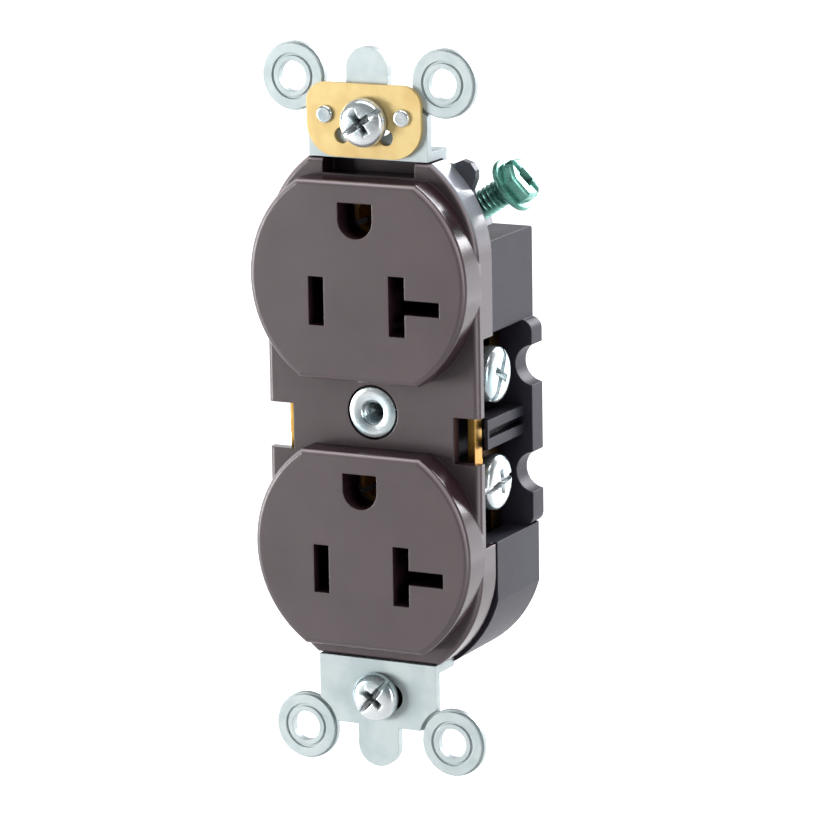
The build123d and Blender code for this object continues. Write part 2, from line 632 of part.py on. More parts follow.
def wire_clamp(side, z):
    """Pressure plate under the screw head, with a groove for a wire either side of the screw."""
    with BuildPart() as clamp:
        with BuildSketch(side_plane(TERMINAL_FACE_X - TERMINAL_HEAD_T - CLAMP_T - 0.05)):
            with Locations((TERMINAL_Y, z)):
                RectangleRounded(6.8, 5.8, 0.6)
                Circle(TERMINAL_SHANK_R + 0.06, mode=Mode.SUBTRACT)
        extrude(amount=CLAMP_T)
        with BuildSketch(at_depth(TERMINAL_Y - 5)):
            for dz in (-2.2, 2.2):
                with Locations((TERMINAL_FACE_X - TERMINAL_HEAD_T - CLAMP_T - 0.35, z + dz)):
                    Circle(0.8)
        extrude(amount=-10, mode=Mode.SUBTRACT)
    return clamp.part if side > 0 else clamp.part.mirror(Plane.YZ)


def device_screw(z, under_head_y):
    with BuildPart() as screw:
        with BuildSketch(at_depth(under_head_y - DEVICE_HEAD_T)):
            with Locations((0, z)):
                Circle(DEVICE_HEAD_R)
        extrude(amount=-DEVICE_HEAD_T)
        fillet(screw.faces().sort_by(Axis.Y)[0].edges(), radius=1.1)
        with BuildSketch(at_depth(under_head_y)):
            with Locations((0, z)):
                Circle(DEVICE_NECK_R)
        extrude(amount=-(THREAD_START_Y - under_head_y))
        with BuildSketch(at_depth(THREAD_START_Y)):
            with Locations((0, z)):
                Circle(DEVICE_SHANK_R)
        extrude(amount=-(under_head_y + DEVICE_LENGTH - THREAD_START_Y))
        chamfer(screw.faces().sort_by(Axis.Y)[-1].edges(), length=0.5)
        with BuildSketch(at_depth(under_head_y - DEVICE_HEAD_T - 1)):
            with Locations(Location((0, z), 20)):
                cross_and_slot(0.95, 5.2)
        extrude(amount=-2.1, mode=Mode.SUBTRACT)
    return screw.part


with BuildPart() as ground_screw:
    with BuildSketch(screw_plane.offset(-5.6)):
        Circle(2.0)
    extrude(amount=9.4)
    chamfer(ground_screw.faces().sort_by(Axis.X)[0].edges(), length=0.5)
    with BuildSketch(screw_plane.offset(3.7)):
        Circle(4.0)
    extrude(amount=0.9)
    with BuildSketch(screw_plane.offset(4.6)):
        RegularPolygon(3.45, 6)
    extrude(amount=2.0)
    with BuildSketch(screw_plane.offset(5.4)):
        Rectangle(8.4, 1.1)
    extrude(amount=2, mode=Mode.SUBTRACT)
    with BuildSketch(screw_plane.offset(4.8)):
        Rectangle(2.4, 2.4)
    extrude(amount=3, mode=Mode.SUBTRACT)

with BuildPart() as lower_screw_retainer:
    with BuildSketch(at_depth(0.15)):
        with Locations((0, -DEVICE_Z - 0.7)):
            RectangleRounded(9.6, 6.6, 0.8)
        with Locations((0, -DEVICE_Z)):
            Circle(DEVICE_NECK_R + 0.06, mode=Mode.SUBTRACT)
    extrude(amount=-0.8)

with BuildPart() as assembly_screws:
    for y, r, t in ((-0.5, ASSEMBLY_SHANK_R, 16.2), (BODY_BACK_Y - 3.0, 2.8, 1.9)):
        with BuildSketch(at_depth(y)):
            with Locations((0, ASSEMBLY_Z[0]), (0, ASSEMBLY_Z[1])):
                Circle(r)
        extrude(amount=-t)
    with BuildSketch(at_depth(BODY_BACK_Y - 2.3)):
        with Locations((0, ASSEMBLY_Z[0]), (0, ASSEMBLY_Z[1])):
            cross_and_slot(0.9, 3.4)
    extrude(amount=-4, mode=Mode.SUBTRACT)

# ---------------------------------------------------------------- export
save(front_cover.part, "front_cover")
save(back_body.part, "back_body")
save(mounting_strap.part + ground_lug.part, "mounting_strap")
save(self_grounding_clip.part, "self_grounding_clip")
save(clip_rivets.part, "clip_rivets")
save(center_eyelet.part, "center_eyelet")
save(contact_strip(1, True), "neutral_contact_strip")
save(contact_strip(-1, False), "hot_contact_strip")
save(ground_contact(GROUND_Z[0]), "ground_contact_upper")
save(ground_contact(GROUND_Z[1]), "ground_contact_lower")
save(ground_contact_rivets.part, "ground_contact_rivets")
for side, pole in ((1, "neutral"), (-1, "hot")):
    for z, level in zip(TERMINAL_Z, ("upper", "lower")):
        save(terminal_screw(side, z), f"{level}_{pole}_terminal_screw")
        save(wire_clamp(side, z), f"{level}_{pole}_wire_clamp")
save(ground_screw.part, "ground_screw")
save(device_screw(DEVICE_Z, EAR_FRONT_Y - CLIP_T - 0.1), "upper_mounting_screw")
save(device_screw(-DEVICE_Z, EAR_FRONT_Y - 0.15), "lower_mounting_screw")
save(lower_screw_retainer.part, "lower_screw_retainer")
save(assembly_screws.part, "assembly_screws")
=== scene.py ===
from collections import namedtuple
import json
import math

import bmesh
import bpy
from mathutils import Matrix, Vector


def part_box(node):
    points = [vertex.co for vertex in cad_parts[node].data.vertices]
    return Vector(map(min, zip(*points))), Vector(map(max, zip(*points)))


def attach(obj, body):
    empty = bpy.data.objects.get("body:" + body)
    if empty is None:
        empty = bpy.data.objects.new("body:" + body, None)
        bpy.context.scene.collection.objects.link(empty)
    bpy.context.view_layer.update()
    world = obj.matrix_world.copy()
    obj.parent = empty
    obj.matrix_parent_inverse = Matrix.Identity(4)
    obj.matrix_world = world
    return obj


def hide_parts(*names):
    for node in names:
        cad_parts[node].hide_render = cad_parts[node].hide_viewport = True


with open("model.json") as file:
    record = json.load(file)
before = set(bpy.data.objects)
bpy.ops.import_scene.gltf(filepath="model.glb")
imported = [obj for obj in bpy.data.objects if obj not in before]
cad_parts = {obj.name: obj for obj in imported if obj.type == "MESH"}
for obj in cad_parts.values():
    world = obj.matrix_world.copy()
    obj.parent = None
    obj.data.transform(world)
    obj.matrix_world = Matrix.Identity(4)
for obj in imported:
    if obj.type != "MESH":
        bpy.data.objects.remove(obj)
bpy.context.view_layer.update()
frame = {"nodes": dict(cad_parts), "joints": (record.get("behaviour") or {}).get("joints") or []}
JOINTS = {j["name"]: j for j in frame["joints"]}
MM = 0.001


# ------------------------------------------------------------------ colour and node helpers
def srgb(r, g, b):
    """0-255 display values to the linear colour that shader sockets take."""
    def channel(v):
        v /= 255.0
        return v / 12.92 if v <= 0.04045 else ((v + 0.055) / 1.055) ** 2.4
    return (channel(r), channel(g), channel(b), 1.0)


def grey(value):
    return (value, value, value, 1)


BLACK = grey(0)
WHITE = grey(1)


class Nodes:
    """A material's node tree with short calls for the nodes this scene uses."""

    def __init__(self, name):
        self.material = bpy.data.materials.new(name)
        self.material.use_nodes = True
        self.tree = self.material.node_tree
        self.shader = self.tree.nodes["Principled BSDF"]
        self.coord = self.tree.nodes.new("ShaderNodeTexCoord")

    def link(self, source, target):
        self.tree.links.new(source, target)

    def feed(self, value, socket):
        """Links a socket's output, or sets a plain value."""
        if isinstance(value, bpy.types.NodeSocket):
            self.link(value, socket)
        else:
            socket.default_value = value

    def axes(self, kind):
        """The X, Y and Z of the surface's place ("Object") or of its direction ("Normal")."""
        node = self.tree.nodes.new("ShaderNodeSeparateXYZ")
        self.link(self.coord.outputs[kind], node.inputs["Vector"])
        return node.outputs

    def noise(self, scale, detail=4.0, roughness=0.55, stretch=(1, 1, 1)):
        mapping = self.tree.nodes.new("ShaderNodeMapping")
        mapping.inputs["Scale"].default_value = stretch
        self.link(self.coord.outputs["Object"], mapping.inputs["Vector"])
        node = self.tree.nodes.new("ShaderNodeTexNoise")
        node.inputs["Scale"].default_value = scale
        node.inputs["Detail"].default_value = detail
        node.inputs["Roughness"].default_value = roughness
        self.link(mapping.outputs["Vector"], node.inputs["Vector"])
        return node.outputs["Fac"]

    def ramp(self, value, low, high, low_at=0.3, high_at=0.7):
        node = self.tree.nodes.new("ShaderNodeValToRGB")
        node.color_ramp.elements[0].position = low_at
        node.color_ramp.elements[0].color = low
        node.color_ramp.elements[1].position = high_at
        node.color_ramp.elements[1].color = high
        self.link(value, node.inputs["Fac"])
        return node.outputs["Color"]

    def between(self, value, start, end, low=0.0, high=1.0):
        """Runs from low to high while the value goes from start to end."""
        node = self.tree.nodes.new("ShaderNodeMapRange")
        node.inputs["From Min"].default_value = start
        node.inputs["From Max"].default_value = end
        node.inputs["To Min"].default_value = low
        node.inputs["To Max"].default_value = high
        self.link(value, node.inputs["Value"])
        return node.outputs["Result"]

    def product(self, first, *others):
        for other in others:
            node = self.tree.nodes.new("ShaderNodeMath")
            node.operation = "MULTIPLY"
            self.link(first, node.inputs[0])
            self.link(other, node.inputs[1])
            first = node.outputs[0]
        return first

    def mix(self, factor, a, b, blend="MIX"):
        node = self.tree.nodes.new("ShaderNodeMix")
        node.data_type = "RGBA"
        node.blend_type = blend
        self.feed(factor, node.inputs[0])
        self.feed(a, node.inputs[6])
        self.feed(b, node.inputs[7])
        return node.outputs[2]

    def shaded(self, colour, distance, tint, low_at, high_at):
        """Painted shade: the colour multiplied toward a tint in corners and recesses."""
        node = self.tree.nodes.new("ShaderNodeAmbientOcclusion")
        node.samples = 8
        node.inputs["Distance"].default_value = distance
        crevice = self.ramp(node.outputs["AO"], tint, WHITE, low_at, high_at)
        return self.mix(1.0, colour, crevice, "MULTIPLY")

    def surface(self, height, strength, distance, edge):
        """Bump from a height, on normals rounded over sharp edges by the edge radius."""
        bevel = self.tree.nodes.new("ShaderNodeBevel")
        bevel.samples = 6
        bevel.inputs["Radius"].default_value = edge
        bump = self.tree.nodes.new("ShaderNodeBump")
        bump.inputs["Strength"].default_value = strength
        bump.inputs["Distance"].default_value = distance
        self.link(height, bump.inputs["Height"])
        self.link(bevel.outputs["Normal"], bump.inputs["Normal"])
        self.link(bump.outputs["Normal"], self.shader.inputs["Normal"])

    def set(self, **values):
        for key, value in values.items():
            self.feed(value, self.shader.inputs[key.replace("_", " ")])


# ------------------------------------------------------------------ materials
BUMP_DEPTH = 0.00003
# painted shade: how far the occlusion looks, and the tint that corners and recesses darken toward
SHADE_REACH = 0.006
SHADE_TINT = (0.2, 0.1, 0.14, 1)
# painted shade on side walls that turn away from the front
WALL_SHADE_TONE = srgb(62, 44, 50)
WALL_ROUGHNESS = grey(0.2)
# painted highlight on rounded edges
EDGE_HIGHLIGHT_TONE = srgb(158, 146, 150)
# painted reflection on the outer rim, and where the rim starts
RIM_REFLECTION_TONE = srgb(176, 180, 190)
RIM_START_Y = (-0.0012, -0.0008)
TARNISH_TONE = srgb(86, 62, 36)
TARNISH_END_X = (0.0128, 0.0135)
# painted shade on the strap's arm, and where the arm starts
ARM_SHADE_TONE = srgb(92, 95, 102)
ARM_START_X = (0.0105, 0.0115)
ARM_START_Y = (0.0012, 0.002)


def polished_walls_with_painted_light(n, tone, rough):
    """Smooth side walls with painted shade, a painted highlight on rounded edges that mostly face up, and
    a painted reflection on the rim at the upper right.
    """
    facing = n.axes("Normal")
    place = n.axes("Object")
    turned = n.between(facing["Y"], -0.97, -0.6)
    rounded = n.between(facing["Y"], -0.97, -0.8)
    beyond = n.between(facing["Y"], -0.6, -0.35, 1.0, 0.0)
    upward = n.between(facing["Z"], -0.3, 0.3, 0.2, 1.0)
    behind = n.between(place["Y"], *RIM_START_Y)
    raised = n.between(facing["Z"], 0.05, 0.45)
    rightward = n.between(facing["X"], 0.1, 0.3)
    # painted shade: darker walls where the surface turns away from the front
    tone = n.mix(turned, tone, WALL_SHADE_TONE)
    # painted highlight: paler rounded edges, mostly where they face up
    tone = n.mix(n.product(rounded, beyond, upward), tone, EDGE_HIGHLIGHT_TONE)
    # painted reflection: paler bluish upper-right walls behind the front
    tone = n.mix(n.product(behind, raised, rightward, turned), tone, RIM_REFLECTION_TONE)
    return tone, n.mix(turned, rough, WALL_ROUGHNESS)


def tarnished_inside(n, tone):
    """Brown tarnish on the contacts, short of their outer pads at the sides."""
    place = n.axes("Object")
    outward_squared = n.product(place["X"], place["X"])
    start, end = TARNISH_END_X
    return n.mix(n.between(outward_squared, start ** 2, end ** 2), TARNISH_TONE, tone)


def painted_arm_shade(n, tone):
    """Painted shade: a darker tone on the strap's arm, which reaches right and back to the ground screw.
    """
    place = n.axes("Object")
    sideways = n.between(place["X"], *ARM_START_X)
    behind = n.between(place["Y"], *ARM_START_Y)
    return n.mix(n.product(sideways, behind), tone, ARM_SHADE_TONE)


def moulded_plastic(name, base, dark, gloss, edge, sheen=0.5, walls=False):
    """Moulded thermoplastic: fine spark texture, faint flow clouds, painted shade in corners and recesses.

    With walls, only what faces front keeps the flow clouds; the sides have painted shade and are polished.
    """
    n = Nodes(name)
    clouds = n.noise(90, 5.0)
    fine = n.noise(2600, 2.0)
    tone = n.ramp(clouds, dark, base, 0.25, 0.6)
    rough = n.between(fine, 0.0, 1.0, gloss - 0.05, gloss + 0.12)
    if walls:
        tone, rough = polished_walls_with_painted_light(n, tone, rough)
    # painted shade: the colour darkens toward the tint in corners and recesses
    n.set(Base_Color=n.shaded(tone, SHADE_REACH, SHADE_TINT, 0.15, 0.85))
    n.set(Roughness=rough, IOR=1.5, Specular_IOR_Level=sheen)
    n.surface(fine, 0.22, BUMP_DEPTH, edge)
    return n.material


def plated_metal(name, base, tint, rough, edge=0.00012, metallic=1.0, recess=0.002,
                 recess_shade_tone=0.3, recess_open=0.6, retone=None):
    """Plated sheet or bar: drawn streaks, faint passivation tint, dull spots, small pits and painted shade
    in recesses.
    """
    n = Nodes(name)
    grain = n.noise(900, 6.0, 0.65, (1, 1, 6))
    blotch = n.noise(220, 3.0)
    pits = n.noise(4200, 2.0)
    tone = n.mix(n.ramp(blotch, BLACK, WHITE, 0.4, 0.62), base, tint)
    if retone:
        tone = retone(n, tone)
    # painted shade: the colour darkens toward the given tone in recesses
    n.set(Base_Color=n.shaded(tone, recess, grey(recess_shade_tone), 0.1, recess_open))
    n.set(Metallic=metallic, Roughness=n.between(grain, 0.0, 1.0, rough - 0.08, rough + 0.16))
    n.surface(pits, 0.16, BUMP_DEPTH, edge)
    return n.material


# bright plating with painted shade in its recesses, down to the given tone
def bright_plating(name, recess_shade_tone):
    return plated_metal(name, srgb(245, 250, 252), srgb(205, 228, 234), 0.2, 0.00006, 0.75,
                        recess=0.003, recess_shade_tone=recess_shade_tone, recess_open=0.75)


COVER = moulded_plastic("brown_cover", srgb(88, 78, 80), srgb(80, 70, 72), 0.3, 0.00022, walls=True)
BODY = moulded_plastic("dark_body", srgb(63, 63, 73), srgb(54, 54, 63), 0.4, 0.0003, 0.14)
FIBRE = moulded_plastic("retainer_fibre", srgb(74, 68, 66), srgb(58, 52, 51), 0.6, 0.0001)
ZINC = plated_metal("zinc_steel", srgb(194, 205, 206), srgb(180, 193, 195), 0.45,
                    metallic=0.3, recess_shade_tone=0.6, retone=painted_arm_shade)
BRIGHT = bright_plating("bright_steel", 0.03)
EYELET = bright_plating("bright_eyelet", 0.32)
CLIP = plated_metal("yellow_brass", srgb(230, 204, 140), srgb(222, 190, 124), 0.32, metallic=0.35)
CONTACT = plated_metal("contact_brass", srgb(214, 176, 92), srgb(190, 146, 74), 0.34,
                       recess=0.007, recess_open=0.7, retone=tarnished_inside)
SLEEVE = plated_metal("ground_sleeve_brass", srgb(232, 178, 98), srgb(212, 152, 78), 0.4,
                      metallic=0.4, recess_shade_tone=0.8)
BRASS_SCREW = plated_metal("brass_screw", srgb(232, 192, 110), srgb(206, 158, 84), 0.22, 0.00006)
GREEN = plated_metal("green_steel", srgb(104, 168, 154), srgb(132, 192, 180), 0.24, 0.00008, 0.6,
                     recess=0.003, recess_shade_tone=0.02, recess_open=0.8)

NODE_MATERIALS = {
    "front_cover": COVER,
    "back_body": BODY,
    "mounting_strap": ZINC,
    "self_grounding_clip": CLIP,
    "clip_rivets": BRIGHT,
    "neutral_contact_strip": CONTACT,
    "hot_contact_strip": CONTACT,
    "ground_contact_upper": SLEEVE,
    "ground_contact_lower": SLEEVE,
    "ground_contact_rivets": SLEEVE,
    "assembly_screws": BRIGHT,
    "lower_screw_retainer": FIBRE,
    "upper_neutral_wire_clamp": BRIGHT,
    "lower_neutral_wire_clamp": BRIGHT,
    "upper_hot_wire_clamp": BRASS_SCREW,
    "lower_hot_wire_clamp": BRASS_SCREW,
}
for node, material in NODE_MATERIALS.items():
    data = frame["nodes"][node].data
    data.materials.clear()
    data.materials.append(material)


# ------------------------------------------------------------------ mesh helpers
def soften_shading(data, angle):
    """Smooth shading, except over edges sharper than the angle."""
    data.shade_smooth()
    data.set_sharp_from_angle(angle=math.radians(angle))


def mesh_object(name, bm, material, smooth=35.0):
    """A linked object from a bmesh, flat-shaded when smooth is 0."""
    bmesh.ops.recalc_face_normals(bm, faces=bm.faces)
    data = bpy.data.meshes.new(name)
    bm.to_mesh(data)
    bm.free()
    obj = bpy.data.objects.new(name, data)
    bpy.context.scene.collection.objects.link(obj)
    data.materials.append(material)
    if smooth:
        soften_shading(data, smooth)
    return obj


def ring(bm, radius, z, count):
    """Vertices round Z, at one radius or at a radius worked out from the angle."""
    verts = []
    for i in range(count):
        a = 2 * math.pi * i / count
        r = radius(a) if callable(radius) else radius
        verts.append(bm.verts.new((r * math.cos(a), r * math.sin(a), z)))
    return verts


def bridge(bm, lower, upper):
    count = len(lower)
    for i in range(count):
        j = (i + 1) % count
        bm.faces.new((lower[i], lower[j], upper[j], upper[i]))


def stack(bm, rings):
    """Joins each ring to the next."""
    for lower, upper in zip(rings, rings[1:]):
        bridge(bm, lower, upper)


def capped_stack(bm, rings):
    """Joins each ring to the next and closes both ends."""
    stack(bm, rings)
    bm.faces.new(list(reversed(rings[0])))
    bm.faces.new(rings[-1])


def lathe(bm, profile, count):
    """Turns a list of (radius, z) about Z."""
    capped_stack(bm, [ring(bm, r, z, count) for r, z in profile])


def winding(z, pitch, a):
    """0 in a thread's root and 1 on its crest, at a height and an angle."""
    phase = (z / pitch - a / (2 * math.pi)) % 1.0
    return 1.0 - abs(2.0 * phase - 1.0)


def thread(bm, outer, depth, z_low, z_high):
    """A screw thread about Z: crests and roots wind round in a helix and fade at both ends."""
    count, steps = 48, 8
    rows = max(2, int((z_high - z_low) / PITCH * steps))
    rings = []
    for k in range(rows + 1):
        z = z_low + (z_high - z_low) * k / rows
        run_in = min(1.0, (z - z_low) / PITCH)
        run_out = min(1.0, (z_high - z) / (0.6 * PITCH))

        def radius(a, z=z, run_in=run_in, run_out=run_out):
            crest = min(1.0, max(0.0, (winding(z, PITCH, a) - 0.1) / 0.75))
            start = outer - depth * (1.6 - 0.6 * run_in)
            return start + depth * crest * run_in * run_out
        rings.append(ring(bm, radius, z, count))
    capped_stack(bm, rings)


def tapered_bar(name, material, width, length, taper, top, bottom, roll=0.0):
    """A bar along X with sloping ends and sides, for cutting recesses."""
    bm = bmesh.new()
    rings = []
    for z, narrow, short in ((bottom, 0.75, taper), (top, 1.0, 1.0)):
        x = length / 2 * short
        y = width / 2 * narrow
        rings.append([bm.verts.new(corner) for corner in ((-x, -y, z), (x, -y, z), (x, y, z), (-x, y, z))])
    capped_stack(bm, rings)
    bar = mesh_object(name, bm, material, 0)
    bar.data.transform(Matrix.Rotation(math.radians(roll), 4, "Z"))
    return bar


def cut(obj, cutter, bevel):
    """Cuts the recess out of the head, then breaks its sharp edges, and applies both."""
    boolean = obj.modifiers.new("cut", "BOOLEAN")
    boolean.operation = "DIFFERENCE"
    boolean.solver = "EXACT"
    boolean.object = cutter
    soften = obj.modifiers.new("soften", "BEVEL")
    soften.width = bevel
    soften.segments = 2
    soften.limit_method = "ANGLE"
    soften.angle_limit = math.radians(30)
    graph = bpy.context.evaluated_depsgraph_get()
    mesh = bpy.data.meshes.new_from_object(obj.evaluated_get(graph))
    obj.modifiers.clear()
    obj.data = mesh
    soften_shading(mesh, 40)
    bpy.data.objects.remove(cutter)


def join(parts, name):
    """One new object with the meshes of all the parts, which are removed."""
    bm = bmesh.new()
    for part in parts:
        bm.from_mesh(part.data)
    data = bpy.data.meshes.new(name)
    bm.to_mesh(data)
    bm.free()
    data.materials.append(parts[0].data.materials[0])
    soften_shading(data, 38)
    obj = bpy.data.objects.new(name, data)
    bpy.context.scene.collection.objects.link(obj)
    for part in parts:
        bpy.data.objects.remove(part)
    return obj


def stand_on(obj, axis, origin, roll=0.0):
    """Turns local +Z to the axis at a point, in the vertices, so the object stays at the origin."""
    rotation = Vector(axis).normalized().to_track_quat("Z", "Y").to_matrix().to_4x4()
    spin = Matrix.Rotation(math.radians(roll), 4, "Z")
    obj.data.transform(Matrix.Translation(origin) @ rotation @ spin)
    obj.data.update()


# ------------------------------------------------------------------ screws
PITCH = 25.4 * MM / 32
THREAD_DEPTH = 0.00042
DOME_STEPS = 8
CUT_ABOVE = 0.0004
CROSS_TAPER = 0.35

ScrewKind = namedtuple("ScrewKind", "head_t crown shank_r slot_w cross_w cross_l recess")
DEVICE_SCREW = ScrewKind(head_t=0.0019, crown=0.6, shank_r=0.00172,
                         slot_w=0.0009, cross_w=0.0011, cross_l=0.0043, recess=0.0017)
TERMINAL_SCREW = ScrewKind(head_t=0.0022, crown=0.4, shank_r=0.0019,
                           slot_w=0.0011, cross_w=0.0012, cross_l=0.0046, recess=0.0015)


def head_profile(head_r, kind):
    """Chamfered foot, straight side and a shallow dome, as (radius, z) from the foot up."""
    side = 1 - kind.crown
    profile = [(head_r * 0.86, 0.0), (head_r * 0.97, 0.00006), (head_r, 0.0002)]
    profile.append((head_r, kind.head_t * side))
    for k in range(1, DOME_STEPS):
        a = math.radians(90 * k / DOME_STEPS)
        narrowing = 0.378 * (1 - math.cos(a)) + 0.02 * k / DOME_STEPS
        profile.append((head_r * (1 - narrowing), kind.head_t * (side + kind.crown * math.sin(a))))
    profile.append((head_r * 0.35, kind.head_t * 0.998))
    profile.append((head_r * 0.08, kind.head_t))
    return profile


def driven_screw(name, material, kind, head_r, length):
    """Head standing up from z=0 with a cross and slot, threaded shank hanging below it."""
    bm = bmesh.new()
    lathe(bm, head_profile(head_r, kind), 80)
    head = mesh_object(name + "_head", bm, material)
    top = kind.head_t + CUT_ABOVE
    slot_floor = kind.head_t - kind.recess * 0.62
    cross_floor = kind.head_t - kind.recess
    slot = tapered_bar(name + "_slot", material, kind.slot_w, head_r * 2.6, 1.0, top, slot_floor)
    cut(head, slot, 0.00004)
    for roll in (0, 90):
        wing = tapered_bar(name + "_cross", material, kind.cross_w, kind.cross_l,
                           CROSS_TAPER, top, cross_floor, roll)
        cut(head, wing, 0.00003)
    bm = bmesh.new()
    thread(bm, kind.shank_r, THREAD_DEPTH, -length, 0.00005)
    rod = mesh_object(name + "_rod", bm, material)
    return join([head, rod], name)


def place_screw(node, body, material, kind, axis, roll):
    """A detailed screw in the place and size of a CAD screw along X or Y."""
    low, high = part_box(node)
    along = 0 if axis[0] else 1
    across = 1 - along
    head_r = (high[across] - low[across]) / 2
    total = high[along] - low[along]
    face = high[along] if axis[along] > 0 else low[along]
    origin = (low + high) / 2
    origin[along] = face - kind.head_t * axis[along]
    screw = driven_screw(node + "_detail", material, kind, head_r, total - kind.head_t)
    stand_on(screw, axis, origin, roll)
    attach(screw, body)
    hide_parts(node)


for level, turn in (("upper", 35), ("lower", 50)):
    screw_name = f"{level}_mounting_screw"
    place_screw(screw_name, screw_name, BRIGHT, DEVICE_SCREW, (0, -1, 0), turn)
for pole, direction, metal, slot_name in (
    ("neutral", 1, BRIGHT, "bright_steel"),
    ("hot", -1, BRASS_SCREW, "brass_screw"),
):
    for level, turn in (("upper", 62), ("lower", 8)):
        place_screw(f"{level}_{pole}_terminal_screw", f"{level}_{pole}_screw", metal,
                    TERMINAL_SCREW, (direction, 0, 0), turn)


# ------------------------------------------------------------------ ground screw
WASHER_PROFILE = (
    (0.0030, 0.0037), (0.0039, 0.00375), (0.0040, 0.0039),
    (0.0040, 0.0043), (0.00385, 0.00452), (0.0034, 0.0046),
)
HEX_PROFILE = ((0.00335, 0.0045), (0.00344, 0.0050), (0.00344, 0.0062), (0.0030, 0.0066))
HEX_CUT_TOP = 0.0072
GROUND_SLOT = (0.0011, 0.0088, 1.0, HEX_CUT_TOP, 0.0053)
GROUND_SQUARE = (0.0024, 0.0024, 0.9, HEX_CUT_TOP, 0.0048)
GROUND_SHANK_R = 0.0020
GROUND_THREAD_DEPTH = 0.00045
GROUND_SHANK_Z = (-0.0044, 0.0038)
GROUND_ROLL = -65


def ground_screw():
    """Slotted hexagon head with a washer face, on the tilted axis of its joint."""
    bm = bmesh.new()
    lathe(bm, WASHER_PROFILE, 84)
    washer = mesh_object("ground_washer", bm, GREEN)
    bm = bmesh.new()
    lathe(bm, HEX_PROFILE, 6)
    hexagon = mesh_object("ground_hex", bm, GREEN, 30)
    cut(hexagon, tapered_bar("ground_slot", GREEN, *GROUND_SLOT), 0.00006)
    cut(hexagon, tapered_bar("ground_square", GREEN, *GROUND_SQUARE), 0.00005)
    bm = bmesh.new()
    thread(bm, GROUND_SHANK_R, GROUND_THREAD_DEPTH, *GROUND_SHANK_Z)
    rod = mesh_object("ground_rod", bm, GREEN)
    screw = join([washer, hexagon, rod], "ground_screw_detail")
    joint = JOINTS["ground_screw_turn"]
    stand_on(screw, joint["axis"], Vector(joint["pos_m"]), GROUND_ROLL)
    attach(screw, "ground_screw")
    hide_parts("ground_screw")


ground_screw()


# ------------------------------------------------------------------ centre eyelet
EYELET_BORE_R = 0.00142
EYELET_THREAD_DEPTH = 0.00034
EYELET_CONE = 0.0006
EYELET_COUNT = 72


def eyelet():
    """A flanged eyelet with a threaded bore, rolled over at the back, as one closed outline."""
    low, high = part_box("center_eyelet")
    depth = high.y - low.y
    r_out = (high.x - low.x) / 2
    bore = EYELET_BORE_R
    flange = (
        (0.0027, -0.00125), (0.0032, -0.00125), (r_out, -0.0009), (r_out, -0.00035),
        (r_out - 0.0001, -0.00012), (r_out - 0.0004, -0.00002), (r_out - 0.0008, 0.0),
    )
    cone = (
        (bore + 0.00048, -0.00001), (bore + 0.0004, -0.00005),
        (bore + 0.00015, -0.0004), (bore + 0.0001, -EYELET_CONE),
    )
    rolled_end = (
        (0.0026, -depth), (0.0033, -depth + 0.0002),
        (0.0033, -depth + 0.0007), (0.0027, -depth + 0.0008),
    )
    bm = bmesh.new()
    rings = [ring(bm, r, z, EYELET_COUNT) for r, z in flange + cone]
    threaded = depth - EYELET_CONE
    rows = int(threaded / PITCH * 8)
    for k in range(rows + 1):
        z = -EYELET_CONE - threaded * k / rows

        def radius(a, z=z):
            return bore + EYELET_THREAD_DEPTH * winding(z, PITCH, a)
        rings.append(ring(bm, radius, z, EYELET_COUNT))
    rings += [ring(bm, r, z, EYELET_COUNT) for r, z in rolled_end]
    stack(bm, rings)
    bridge(bm, rings[-1], rings[0])
    piece = mesh_object("center_eyelet_detail", bm, EYELET, 40)
    stand_on(piece, (0, -1, 0), (0, low.y, 0))
    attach(piece, "outlet")
    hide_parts("center_eyelet")


eyelet()


# ------------------------------------------------------------------ camera
VIEW_AZIMUTH = 27.618
VIEW_ELEVATION = 12.346
VIEW_ROLL = 1.088
VIEW_DISTANCE = 0.6587
VIEW_CENTRE = (0, -0.0058, 0)
VIEW_SHIFT = (0.01175, 0.00121)
FOCAL_MM = 203.566


def add_camera():
    """A long lens, right of the front and a little above."""
    azimuth, elevation, roll = (math.radians(v) for v in (VIEW_AZIMUTH, VIEW_ELEVATION, VIEW_ROLL))
    level = math.cos(elevation)
    toward = Vector((math.sin(azimuth) * level, -math.cos(azimuth) * level, math.sin(elevation)))
    right = Vector((math.cos(azimuth), math.sin(azimuth), 0))
    up = right.cross(-toward)
    image_x = math.cos(roll) * right - math.sin(roll) * up
    image_y = math.sin(roll) * right + math.cos(roll) * up
    back = (toward - image_x * VIEW_SHIFT[0] - image_y * VIEW_SHIFT[1]).normalized()
    image_x = (image_x - back * image_x.dot(back)).normalized()
    image_y = back.cross(image_x)
    data = bpy.data.cameras.new("camera")
    data.sensor_width = 36.0
    data.lens = FOCAL_MM
    data.clip_start = 0.01
    data.clip_end = 20
    camera = bpy.data.objects.new("camera", data)
    bpy.context.scene.collection.objects.link(camera)
    place = Matrix((image_x, image_y, back)).transposed().to_4x4()
    place.translation = toward * VIEW_DISTANCE + Vector(VIEW_CENTRE)
    camera.matrix_world = place
    bpy.context.scene.camera = camera


add_camera()


# ------------------------------------------------------------------ stage and lights
FLOOR_Z = -0.25
FLOOR_FRONT_Y = -2.5
BACKDROP_Y = 1.4
BACKDROP_TOP_Z = 2.5
SWEEP_R = 0.5
SWEEP_STEPS = 12
SWEEP_HALF_W = 3.0
DIM_GLOW = 0.1
GLOW_START_Y = (0.0, 0.4)
GLOW_END_Z = (0.45, 0.7)
WORLD_STRENGTH = 0.07
PLAIN_WHITE = (1, 1, 1)
COOL_WHITE = (0.94, 0.94, 1.0)
PALE_WHITE = (0.96, 0.95, 1.0)

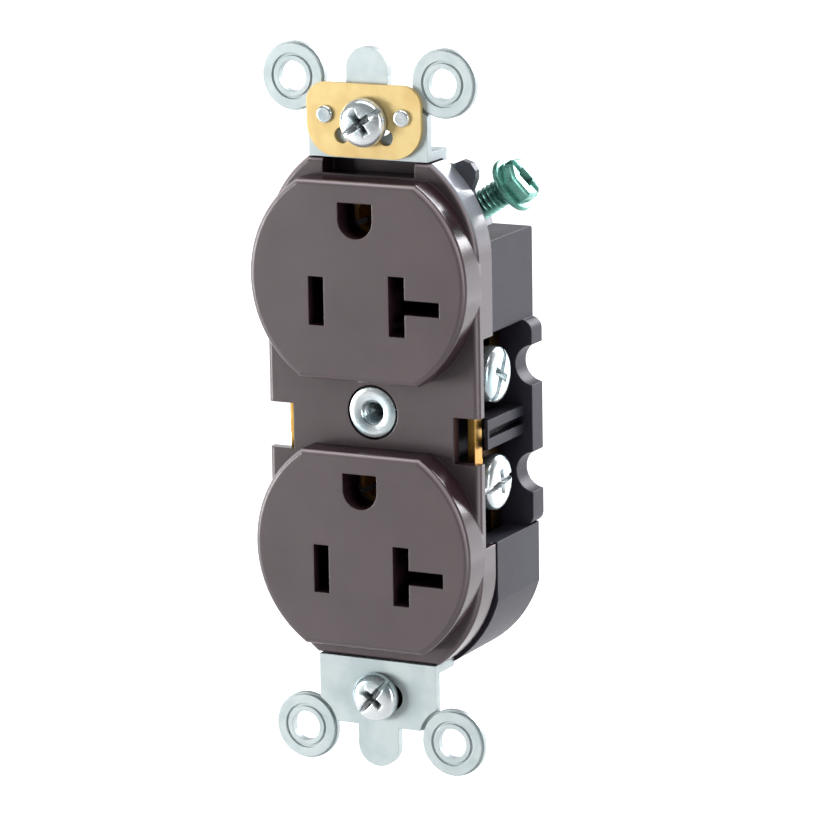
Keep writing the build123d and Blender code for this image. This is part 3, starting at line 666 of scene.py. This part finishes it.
Light = namedtuple("Light", "name place target size power colour")
LIGHTS = (
    Light("key", (-0.85, -0.6, -0.05), (0, 0, 0), (0.4, 0.4), 11.0, PLAIN_WHITE),
    Light("rim_low", (0.42, 0.80, -0.20), (0, 0.01, 0), (0.5, 0.5), 1.2, COOL_WHITE),
    Light("rim_high", (0.25, 0.80, 0.42), (0, 0.01, 0), (0.5, 0.6), 10.5, PALE_WHITE),
    Light("overhead", (0, -0.28, 0.9), (0, 0, 0), (1.2, 0.3), 5.0, PLAIN_WHITE),
    Light("edge", (0.9, -0.45, 0.05), (0, 0, 0), (0.12, 0.8), 3.0, PLAIN_WHITE),
)


def add_light(light):
    data = bpy.data.lights.new(light.name, "AREA")
    data.shape = "RECTANGLE"
    data.size, data.size_y = light.size
    data.energy = light.power
    data.color = light.colour
    lamp = bpy.data.objects.new(light.name, data)
    bpy.context.scene.collection.objects.link(lamp)
    lamp.location = light.place
    aim = Vector(light.target) - Vector(light.place)
    lamp.rotation_euler = aim.to_track_quat("-Z", "Y").to_euler()


def sweep_material():
    """Pale matte paper that glows behind the object and stays dim in front and high up."""
    n = Nodes("pale_sweep")
    place = n.axes("Object")
    near = n.between(place["Y"], *GLOW_START_Y, DIM_GLOW, 1.0)
    low = n.between(place["Z"], *GLOW_END_Z, 1.0, DIM_GLOW)
    n.set(Base_Color=n.ramp(n.noise(3, 2.0), grey(0.5), grey(0.54)), Roughness=0.9)
    n.set(Emission_Color=WHITE, Emission_Strength=n.product(near, low))
    return n.material


def add_stage():
    """A pale floor that sweeps up into a backdrop behind the object."""
    curve_y = BACKDROP_Y - SWEEP_R
    curve_z = FLOOR_Z + SWEEP_R
    line = [(FLOOR_FRONT_Y, FLOOR_Z), (curve_y, FLOOR_Z)]
    for k in range(1, SWEEP_STEPS + 1):
        a = math.radians(90 * k / SWEEP_STEPS)
        line.append((curve_y + SWEEP_R * math.sin(a), curve_z - SWEEP_R * math.cos(a)))
    line.append((BACKDROP_Y, BACKDROP_TOP_Z))
    bm = bmesh.new()
    rows = [[bm.verts.new((x, y, z)) for x in (-SWEEP_HALF_W, SWEEP_HALF_W)] for y, z in line]
    for lower, upper in zip(rows, rows[1:]):
        bm.faces.new((lower[0], lower[1], upper[1], upper[0]))
    sweep = mesh_object("sweep", bm, sweep_material(), 60)


def add_world():
    world = bpy.data.worlds.new("studio")
    bpy.context.scene.world = world
    world.use_nodes = True
    background = world.node_tree.nodes["Background"]
    background.inputs["Color"].default_value = WHITE
    background.inputs["Strength"].default_value = WORLD_STRENGTH


add_stage()
add_world()
for light in LIGHTS:
    add_light(light)
bpy.context.scene.view_settings.view_transform = "Standard"
